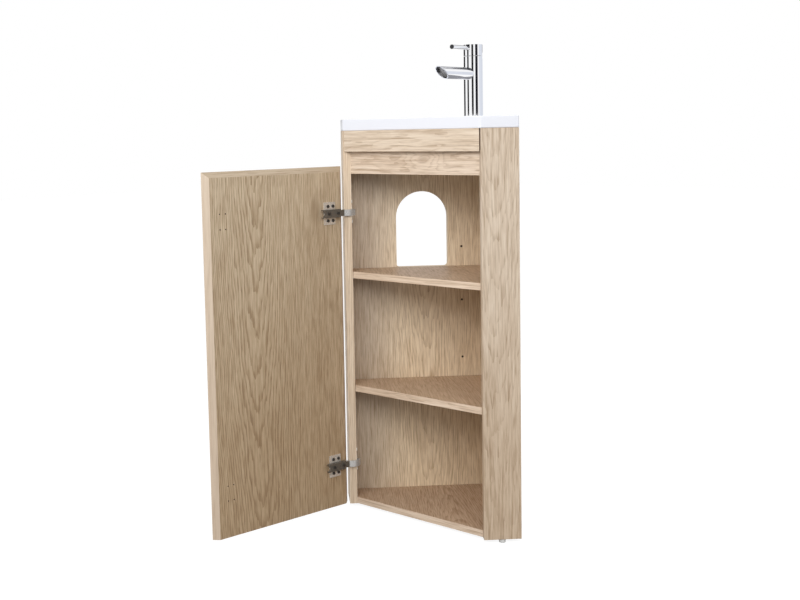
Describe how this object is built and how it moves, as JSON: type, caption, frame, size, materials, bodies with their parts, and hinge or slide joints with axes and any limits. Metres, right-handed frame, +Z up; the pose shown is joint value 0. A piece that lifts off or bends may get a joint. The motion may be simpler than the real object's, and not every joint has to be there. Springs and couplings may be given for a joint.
{
  "type": "corner vanity unit",
  "caption": "Corner washstand cabinet with slab basin, single-lever tap, shelves, arched pipe cut-out and a hinged angled front door, drawn with the door open.",
  "frame": {"origin": "the corner of the room at floor level, where the unit's two wall faces would meet", "axes": "+Z up; the closed door faces -Y; +X to the right seen from the front; the two walls run off at 45 degrees behind the unit"},
  "size_m": [0.5, 0.6455, 1.0415],
  "materials": {
    "oak_board": "oak veneer, satin lacquer",
    "beech_dowel": "plain beech",
    "mineral_basin": "white cast mineral, satin",
    "chrome_tap": "bright chrome",
    "black_rubber": "matt black rubber",
    "nickel_fitting": "nickel-plated steel",
    "steel_hardware": "zinc-plated steel",
    "white_plastic": "white moulded plastic",
    "brass_part": "plain turned brass"
  },
  "bodies": {
    "cabinet": {"left_side_panel": "oak_board", "right_side_panel": "oak_board", "left_back_panel": "oak_board", "right_back_panel": "oak_board", "floor_panel": "oak_board", "lower_shelf": "oak_board", "upper_shelf": "oak_board", "cross_rail": "oak_board", "fascia_board": "oak_board", "fascia_screws": "steel_hardware", "rail_blocks": "white_plastic", "block_screws": "steel_hardware", "lower_shelf_pins": "nickel_fitting", "upper_shelf_pins": "nickel_fitting", "cam_bolts": "steel_hardware", "cam_housings": "steel_hardware", "wood_dowels": "beech_dowel", "glide_feet": "white_plastic", "glide_nails": "steel_hardware", "basin": "mineral_basin", "upper_hinge_cup": "nickel_fitting", "lower_hinge_cup": "nickel_fitting", "hinge_cup_screws": "nickel_fitting", "upper_hinge_pin": "steel_hardware", "lower_hinge_pin": "steel_hardware", "tap_body": "chrome_tap", "tap_gasket": "black_rubber", "tap_spout": "chrome_tap", "aerator": "nickel_fitting", "tap_cartridge": "white_plastic", "cartridge_nut": "brass_part", "tap_stud": "steel_hardware", "stud_rubber_washer": "black_rubber", "stud_horseshoe_washer": "steel_hardware", "stud_nut": "brass_part"},
    "door": {"door_panel": "oak_board", "upper_hinge_arm": "nickel_fitting", "lower_hinge_arm": "nickel_fitting", "upper_mounting_plate": "nickel_fitting", "lower_mounting_plate": "nickel_fitting", "mounting_plate_screws": "nickel_fitting", "arm_fixing_screws": "nickel_fitting", "arm_adjusting_screws": "nickel_fitting"},
    "tap_handle": {"tap_cap": "chrome_tap", "cartridge_stem": "brass_part", "lever_pin": "steel_hardware"},
    "lever": {"tap_lever": "chrome_tap", "lever_tip": "black_rubber"}
  },
  "joints": [
    {"name": "door_swing", "type": "hinge", "parent": "cabinet", "child": "door", "pos_m": [-0.18802, -0.28206, 0.4], "axis": [0, 0, 1], "range_deg": [-4, 99]},
    {"name": "tap_turn", "type": "hinge", "parent": "cabinet", "child": "tap_handle", "pos_m": [0, -0.057, 1.02], "axis": [0, 0, 1], "range_deg": [-50, 50]},
    {"name": "lever_lift", "type": "hinge", "parent": "tap_handle", "child": "lever", "pos_m": [0, -0.057, 1.03], "axis": [-1, 0, 0], "range_deg": [0, 18]}
  ]
}
